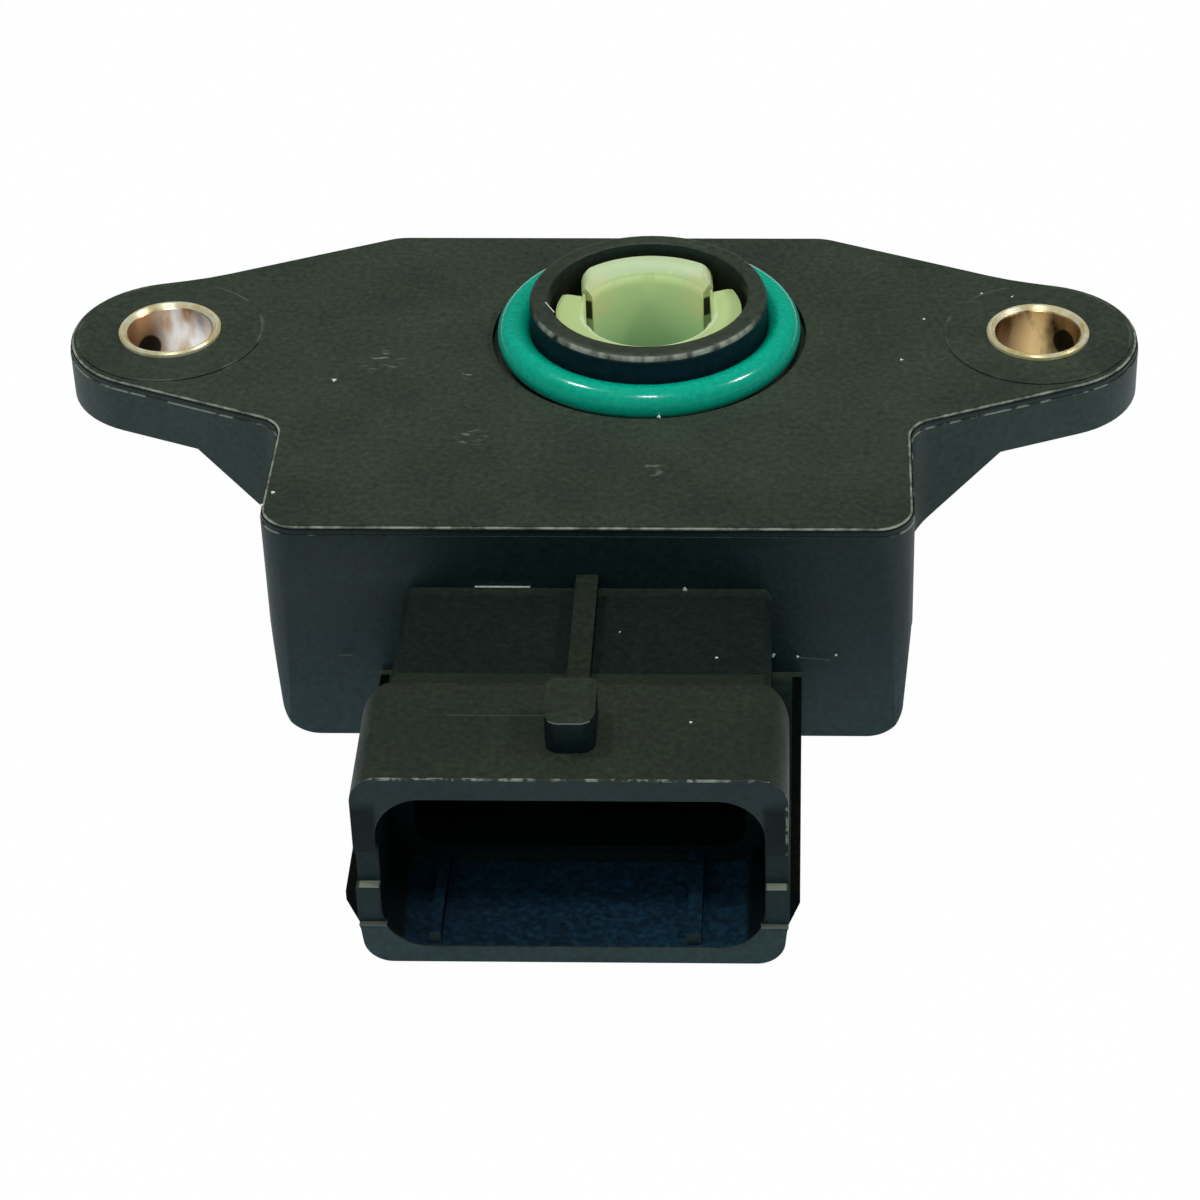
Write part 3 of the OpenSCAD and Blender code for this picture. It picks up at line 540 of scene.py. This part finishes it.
innerLooks = {  # hidden and half-hidden pieces: material, colour, roughness, metallic, pieces
    # stamped and tinned strip: soft grey shine
    "tinnedBronze": ("#c8c9c4", 0.3, 1.0,
        ["wiper", "terminal_supply", "terminal_signal", "terminal_ground"]),
    # screen-printed carbon film: dull black
    "printedCarbon": ("#1c1c1e", 0.55, 0.0, ["resistor_track", "collector_track"]),
    # silver film and solder: bright grey
    "printedSilver": ("#b9bcc0", 0.35, 1.0,
        ["trace_supply", "trace_signal", "trace_ground", "solder_supply", "solder_signal", "solder_ground"]),
    # pressed laminate with a green lacquer
    "greenLaminate": ("#3f6b3a", 0.45, 0.0, ["track_board"]),
    # rolled spring steel: cool grey with a clear shine
    "springSteel": ("#9aa0a4", 0.25, 1.0, ["wave_washer"]),
    # poured and cured sealant: brown with a soft gloss
    "curedSealant": ("#5b4a3a", 0.4, 0.0, ["terminal_seal"]),
}

for kind, (colour, roughness, metallic, pieces) in innerLooks.items():
    looks = {"colour": colour, "roughness": roughness, "tone": 0.12, "cloudMm": 1.6}
    looks["shader"] = {"Metallic": metallic}
    material = plain(kind, looks)
    for name in pieces:
        dress(frame["nodes"][name], material)
print("metals and inner pieces dressed")

grains = {  # dust grains and nicks on the housing, on faces that look up or forward: x, y, z, radius
    "up": [
        (-19.04, -5.56, 0, 0.15), (-21.3, -17.8, 0, 0.13), (15.6, -3.0, 0, 0.1), (17.1, 1.8, 0, 0.09),
        (20.8, 4.8, 0.08, 0.08), (22.7, 4.4, 0.08, 0.08), (-21.8, -19.1, 0, 0.1), (3.6, -36.4, -2.4, 0.09),
        (4.8, -28.0, -4.26, 0.08), (-0.8, -25.6, -4.26, 0.06), (0.95, -9.5, 0, 0.12),
    ],
    "front": [
        (7.9, -21.42, -8.95, 0.14), (9.35, -21.42, -9.05, 0.09), (11.6, -21.3, -9.0, 0.08),
        (2.8, -21.45, -4.2, 0.13),
    ],
}

slivers = {  # thin scratches, flash and a painted glint: both ends, width
    "pale": [
        ((-9.4, -21.42, -4.1), (-6.2, -21.42, -4.1), 0.08),
        # a painted glint on the inner rim of the collar
        ((-6.3, -1.11, 2.9), (-5.67, -2.29, 2.9), 0.05),
    ],
    "dull": [
        ((-9.8, -35.9, -2.4), (-2.0, -35.9, -2.4), 0.04),
        ((-17.7, -21.4, -9.1), (-16.9, -21.4, -9.1), 0.07),
        ((9.5, -21.38, -9.14), (11.3, -21.38, -9.3), 0.05),
    ],
}

grainShape = {  # heights and widths are shares of the radius
    "sides": 10,
    "wave": 0.25,  # how far the outline swings in and out, three times round
    "rings": ((1.0, -0.2), (0.8, 0.35)),  # width and height: the foot in the surface, the shoulder
    "ends": (0.5, -0.2),  # heights of the two middle points, above and below
}


def sliverBox(first, last, width):
    # a box along the line from first to last, as wide and as high as width, half set into the surface
    ends = np.array([first, last])
    run = ends[1] - ends[0]
    side = np.cross(run / np.linalg.norm(run), (0, 0, 1)) * width / 2
    lift = np.array((0, 0, width / 2))
    corners = np.array([(-1, -1), (1, -1), (1, 1), (-1, 1)]) @ np.array([side, lift])
    points = (ends[:, None, :] + corners).reshape(-1, 3)
    return points, [(0, 1, 2, 3), (7, 6, 5, 4), (0, 4, 5, 1), (1, 5, 6, 2), (2, 6, 7, 3), (3, 7, 4, 0)]


def grainDome(centre, radius, way, number, s):
    # two rings whose radius is that of a circle plus a sine of three times the angle, closed by middle points
    count = s["sides"]
    turn = np.arange(count) * 2 * math.pi / count
    reach = radius * (1 + s["wave"] * np.sin(3 * turn + number))
    rings = [(reach * k * np.cos(turn), reach * k * np.sin(turn), np.full(count, h * radius))
        for k, h in s["rings"]]
    middles = np.array([(0, 0, h * radius) for h in s["ends"]])
    dome = np.concatenate([np.stack(ring, 1) for ring in rings] + [middles])
    if way == "front":
        dome = np.stack([dome[:, 0], -dome[:, 2], dome[:, 1]], 1)
    i = np.arange(count)
    j = (i + 1) % count
    top, under = np.full(count, 2 * count), np.full(count, 2 * count + 1)
    quads = np.stack([i, j, count + j, count + i], 1).tolist()
    caps = np.stack([count + i, count + j, top], 1).tolist() + np.stack([j, i, under], 1).tolist()
    return dome + centre, quads + caps


def specks(name, forms):
    # many small closed forms, given as points in mm and faces, in one mesh
    starts = np.cumsum([0] + [len(points) for points, faces in forms])
    points = np.concatenate([points for points, faces in forms]) * mm
    faces = [[int(base + k) for k in face] for base, form in zip(starts, forms) for face in form[1]]
    mesh = bpy.data.meshes.new(name)
    mesh.from_pydata(points.tolist(), [], faces)
    mesh.update()
    piece = bpy.data.objects.new(name, mesh)
    bpy.context.scene.collection.objects.link(piece)
    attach(piece, "sensor_body")
    return piece


# dry settled dust and bared plastic: both dull, and paler than the skin; the same pale colour paints a glint
# on the collar's inner rim
dustAndGlintLooks = {"colour": "#e6e6dd", "roughness": 0.8, "tone": 0.12, "cloudMm": 1.6}
scratchLooks = {"colour": "#4c544e", "roughness": 0.7, "tone": 0.12, "cloudMm": 1.6}

domes = [grainDome((x, y, z), radius, way, number, grainShape)
    for way, rows in grains.items() for number, (x, y, z, radius) in enumerate(rows)]
dustAndGlint = specks("dustGrainsAndGlint", [sliverBox(*row) for row in slivers["pale"]] + domes)
dress(dustAndGlint, plain("paleDustAndGlint", dustAndGlintLooks))
scratches = specks("dullScratches", [sliverBox(*row) for row in slivers["dull"]])
dress(scratches, plain("scratchedPbt", scratchLooks))
print("grains made")

stageLooks = {  # white board under an even white sky, and five lamps
    "floorSize": 2.4,  # metres
    "floorBack": 0.2,  # how far its middle lies behind the part, in metres
    "floorZ": -15.32,
    "floorColour": (0.68, 0.88, 0.95, 1),
    "floorWhite": (0.12, 0.7, 0.985),  # share of plain white: to other rays, to glossy ones, to the camera
    "skyColour": (0.9, 0.98, 1, 1),
    "skyStrength": (0.32, 0.05),  # for other rays, for glossy ones
    "lamps": {  # direction from the part, distance in metres, size, watts, colour
        "leftLamp": ((-0.435, 0.10, 0.89), 0.55, 0.07, 0.62, (0.98, 1.0, 0.98)),
        "middleLamp": ((0.0, -0.415, 0.907), 0.55, 0.07, 0.55, (0.98, 1.0, 0.98)),
        "rightLamp": ((0.685, 0.0, 0.726), 0.55, 0.08, 0.62, (0.98, 1.0, 0.98)),
        "backPanel": ((0.05, 0.6, 0.8), 0.7, 0.5, 0.8, (1.0, 1.0, 0.96)),
        "frontPanel": ((-0.2, -0.85, 0.35), 0.8, 0.5, 0.7, (0.5, 0.95, 1.0)),
    },
}


def paleFloor(s):
    # matt white board that takes the shadow, and shows as plain white to the camera
    bpy.ops.mesh.primitive_plane_add(size=s["floorSize"], location=(0, s["floorBack"], s["floorZ"] * mm))
    floor = bpy.context.object
    floor.name = "floor"
    material, tree, shader = start("whiteFloor")[:3]
    shader.inputs["Base Color"].default_value = s["floorColour"]
    shader.inputs["Roughness"].default_value = 0.9
    rays = add(tree, "ShaderNodeLightPath").outputs
    glow = add(tree, "ShaderNodeEmission", {"Color": (1, 1, 1, 1), "Strength": 1.0})
    other, glossy, camera = s["floorWhite"]
    seen = add(tree, "ShaderNodeMapRange", {0: rays["Is Glossy Ray"], 3: other, 4: glossy}).outputs[0]
    share = add(tree, "ShaderNodeMapRange", {0: rays["Is Camera Ray"], 3: seen, 4: camera}).outputs[0]
    both = add(tree, "ShaderNodeMixShader", {0: share, 1: shader.outputs[0], 2: glow.outputs[0]})
    tree.links.new(both.outputs[0], tree.nodes["Material Output"].inputs["Surface"])
    dress(floor, material)


def studioWorld(s):
    world = bpy.data.worlds.new("studio")
    bpy.context.scene.world = world
    world.use_nodes = True
    tree = world.node_tree
    tree.nodes.clear()
    rays = add(tree, "ShaderNodeLightPath").outputs
    white = add(tree, "ShaderNodeBackground", {"Color": (1, 1, 1, 1), "Strength": 1.0}).outputs[0]
    other, glossy = s["skyStrength"]
    soft = add(tree, "ShaderNodeMapRange", {0: rays["Is Glossy Ray"], 3: other, 4: glossy}).outputs[0]
    dim = add(tree, "ShaderNodeBackground", {"Color": s["skyColour"], "Strength": soft}).outputs[0]
    both = add(tree, "ShaderNodeMixShader", {0: rays["Is Camera Ray"], 1: dim, 2: white})
    add(tree, "ShaderNodeOutputWorld", {"Surface": both.outputs[0]})


def softLamps(s):
    # the small lamps show as streaks on glossy pieces, and the large panels light without showing
    for name, (aim, far, size, watts, colour) in s["lamps"].items():
        data = bpy.data.lights.new(name, "AREA")
        data.energy, data.size, data.color = watts, size, colour
        lamp = bpy.data.objects.new(name, data)
        lamp.visible_glossy = "Panel" not in name
        lamp.location = Vector(aim).normalized() * far
        lamp.rotation_euler = (-lamp.location).to_track_quat("-Z", "Y").to_euler()
        bpy.context.scene.collection.objects.link(lamp)


paleFloor(stageLooks)
studioWorld(stageLooks)
softLamps(stageLooks)
bpy.context.scene.view_settings.view_transform = "Standard"
print("stage made")
